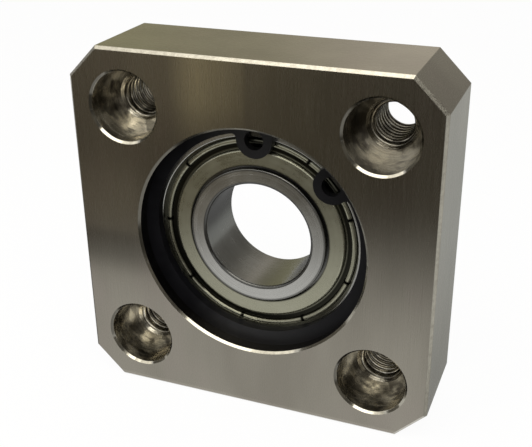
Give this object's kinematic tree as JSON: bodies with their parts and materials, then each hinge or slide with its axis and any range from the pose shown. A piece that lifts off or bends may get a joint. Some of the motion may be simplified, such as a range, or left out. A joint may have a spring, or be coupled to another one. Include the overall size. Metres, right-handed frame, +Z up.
{
  "type": "flanged bearing unit",
  "caption": "Square flanged bearing unit: a shielded deep groove ball bearing held in a machined steel block by a retaining ring, with counterbored and tapped screw holes.",
  "frame": {"origin": "centre of the housing block, on the shaft axis", "axes": "+Y along the shaft axis towards the back mounting face, the front face looks along -Y, +Z up"},
  "size_m": [0.05, 0.014, 0.05],
  "materials": {
    "nickel_plated_steel": "vertically ground steel under a thin warm nickel plating",
    "phosphated_spring_steel": "black phosphate over spring steel",
    "bearing_steel": "fine ground bearing steel",
    "shield_sheet": "zinc-toned pressed sheet, satin",
    "cage_sheet": "pressed sheet steel",
    "polished_ball_steel": "mirror polished",
    "rivet_steel": "headed wire, satin"
  },
  "bodies": {
    "housing": {"housing": "nickel_plated_steel", "retaining_ring": "phosphated_spring_steel", "bearing_outer_ring": "bearing_steel", "front_shield": "shield_sheet", "rear_shield": "shield_sheet"},
    "inner_ring": {"bearing_inner_ring": "bearing_steel"},
    "cage": {"front_cage_half": "cage_sheet", "rear_cage_half": "cage_sheet", "cage_rivet_1": "rivet_steel", "cage_rivet_2": "rivet_steel", "cage_rivet_3": "rivet_steel", "cage_rivet_4": "rivet_steel", "cage_rivet_5": "rivet_steel", "cage_rivet_6": "rivet_steel", "cage_rivet_7": "rivet_steel", "cage_rivet_8": "rivet_steel", "cage_rivet_9": "rivet_steel"},
    "ball_1": {"ball_1": "polished_ball_steel"},
    "ball_2": {"ball_2": "polished_ball_steel"},
    "ball_3": {"ball_3": "polished_ball_steel"},
    "ball_4": {"ball_4": "polished_ball_steel"},
    "ball_5": {"ball_5": "polished_ball_steel"},
    "ball_6": {"ball_6": "polished_ball_steel"},
    "ball_7": {"ball_7": "polished_ball_steel"},
    "ball_8": {"ball_8": "polished_ball_steel"},
    "ball_9": {"ball_9": "polished_ball_steel"}
  },
  "joints": [
    {"name": "inner_ring_spin", "type": "hinge", "parent": "housing", "child": "inner_ring", "pos_m": [0, 0.0007, 0], "axis": [0, 1, 0], "continuous": true},
    {"name": "cage_orbit", "type": "hinge", "parent": "housing", "child": "cage", "pos_m": [0, 0.0007, 0], "axis": [0, 1, 0], "continuous": true},
    {"name": "ball_1_spin", "type": "hinge", "parent": "cage", "child": "ball_1", "pos_m": [0.01157, 0.0007, 0.00204], "axis": [0, 1, 0], "continuous": true},
    {"name": "ball_2_spin", "type": "hinge", "parent": "cage", "child": "ball_2", "pos_m": [0.00755, 0.0007, 0.009], "axis": [0, 1, 0], "continuous": true},
    {"name": "ball_3_spin", "type": "hinge", "parent": "cage", "child": "ball_3", "pos_m": [0, 0.0007, 0.01175], "axis": [0, 1, 0], "continuous": true},
    {"name": "ball_4_spin", "type": "hinge", "parent": "cage", "child": "ball_4", "pos_m": [-0.00755, 0.0007, 0.009], "axis": [0, 1, 0], "continuous": true},
    {"name": "ball_5_spin", "type": "hinge", "parent": "cage", "child": "ball_5", "pos_m": [-0.01157, 0.0007, 0.00204], "axis": [0, 1, 0], "continuous": true},
    {"name": "ball_6_spin", "type": "hinge", "parent": "cage", "child": "ball_6", "pos_m": [-0.01018, 0.0007, -0.00588], "axis": [0, 1, 0], "continuous": true},
    {"name": "ball_7_spin", "type": "hinge", "parent": "cage", "child": "ball_7", "pos_m": [-0.00402, 0.0007, -0.01104], "axis": [0, 1, 0], "continuous": true},
    {"name": "ball_8_spin", "type": "hinge", "parent": "cage", "child": "ball_8", "pos_m": [0.00402, 0.0007, -0.01104], "axis": [0, 1, 0], "continuous": true},
    {"name": "ball_9_spin", "type": "hinge", "parent": "cage", "child": "ball_9", "pos_m": [0.01018, 0.0007, -0.00588], "axis": [0, 1, 0], "continuous": true}
  ],
  "couplings": [
    {"joint": "cage_orbit", "follows": "inner_ring_spin", "ratio": 0.39868},
    {"joint": "ball_1_spin", "follows": "inner_ring_spin", "ratio": -2.3661},
    {"joint": "ball_2_spin", "follows": "inner_ring_spin", "ratio": -2.3661},
    {"joint": "ball_3_spin", "follows": "inner_ring_spin", "ratio": -2.3661},
    {"joint": "ball_4_spin", "follows": "inner_ring_spin", "ratio": -2.3661},
    {"joint": "ball_5_spin", "follows": "inner_ring_spin", "ratio": -2.3661},
    {"joint": "ball_6_spin", "follows": "inner_ring_spin", "ratio": -2.3661},
    {"joint": "ball_7_spin", "follows": "inner_ring_spin", "ratio": -2.3661},
    {"joint": "ball_8_spin", "follows": "inner_ring_spin", "ratio": -2.3661},
    {"joint": "ball_9_spin", "follows": "inner_ring_spin", "ratio": -2.3661}
  ]
}
